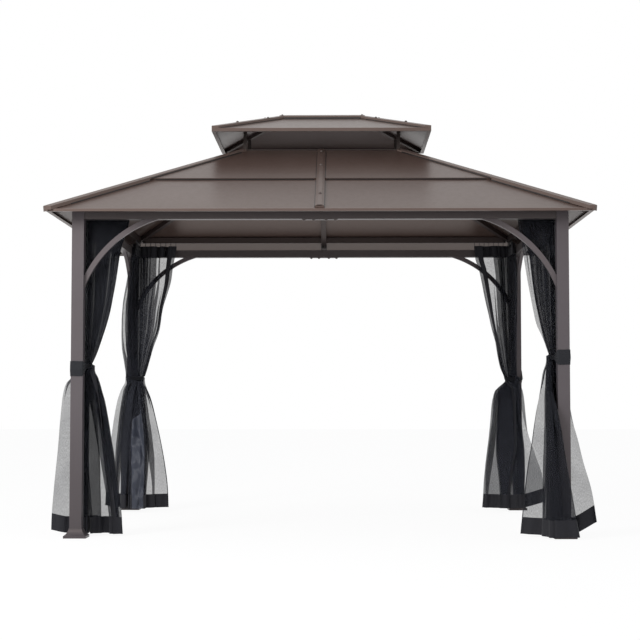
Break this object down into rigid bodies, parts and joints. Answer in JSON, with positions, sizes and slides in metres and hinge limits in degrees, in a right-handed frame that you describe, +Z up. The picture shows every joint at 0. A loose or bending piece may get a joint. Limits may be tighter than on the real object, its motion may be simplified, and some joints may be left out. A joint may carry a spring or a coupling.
{
  "type": "metal gazebo",
  "caption": "Rectangular hard-top garden gazebo: square metal posts with arched braces, a two-tier hipped sheet roof with a vent gap, and mosquito nets tied back at the posts.",
  "frame": {"origin": "on the ground under the middle of the roof", "axes": "+X along the long side, +Y from front to back, +Z up"},
  "size_m": [3.65, 3.05, 3.0874],
  "materials": {
    "roof": "matt brown powder coat on sheet steel",
    "trim": "matt dark brown powder coat",
    "post": "fine-textured charcoal powder coat",
    "beam": "fine-textured charcoal powder coat",
    "brace": "fine-textured charcoal powder coat",
    "frame": "fine-textured dark powder coat",
    "net": "black polyester mosquito mesh",
    "tie": "black woven polyester band"
  },
  "bodies": {
    "root": {"back_beam": "beam", "back_eave_trim": "trim", "back_lower_panels": "roof", "back_top_panel": "roof", "back_upper_panels": "roof", "beam_splices": "beam", "braces_back_left": "brace", "braces_back_right": "brace", "braces_front_left": "brace", "braces_front_right": "brace", "crown_frame": "frame", "crown_posts": "frame", "curtain_rails": "frame", "foot_covers": "post", "front_beam": "beam", "front_eave_trim": "trim", "front_lower_panels": "roof", "front_top_panel": "roof", "front_upper_panels": "roof", "hip_caps": "trim", "hip_rafters": "frame", "left_beam": "beam", "left_eave_trim": "trim", "left_lower_panels": "roof", "left_top_panel": "roof", "left_upper_panels": "roof", "middle_rafters": "frame", "net_back_left": "net", "net_back_right": "net", "net_front_left": "net", "net_front_right": "net", "post_back_left": "post", "post_back_right": "post", "post_front_left": "post", "post_front_right": "post", "rafter_caps": "trim", "rafter_saddles": "beam", "right_beam": "beam", "right_eave_trim": "trim", "right_lower_panels": "roof", "right_top_panel": "roof", "right_upper_panels": "roof", "tie_bands": "tie", "top_eave_trims": "trim", "top_hip_caps": "trim", "top_rafters": "frame", "top_ridge_cap": "trim"}
  },
  "joints": []
}
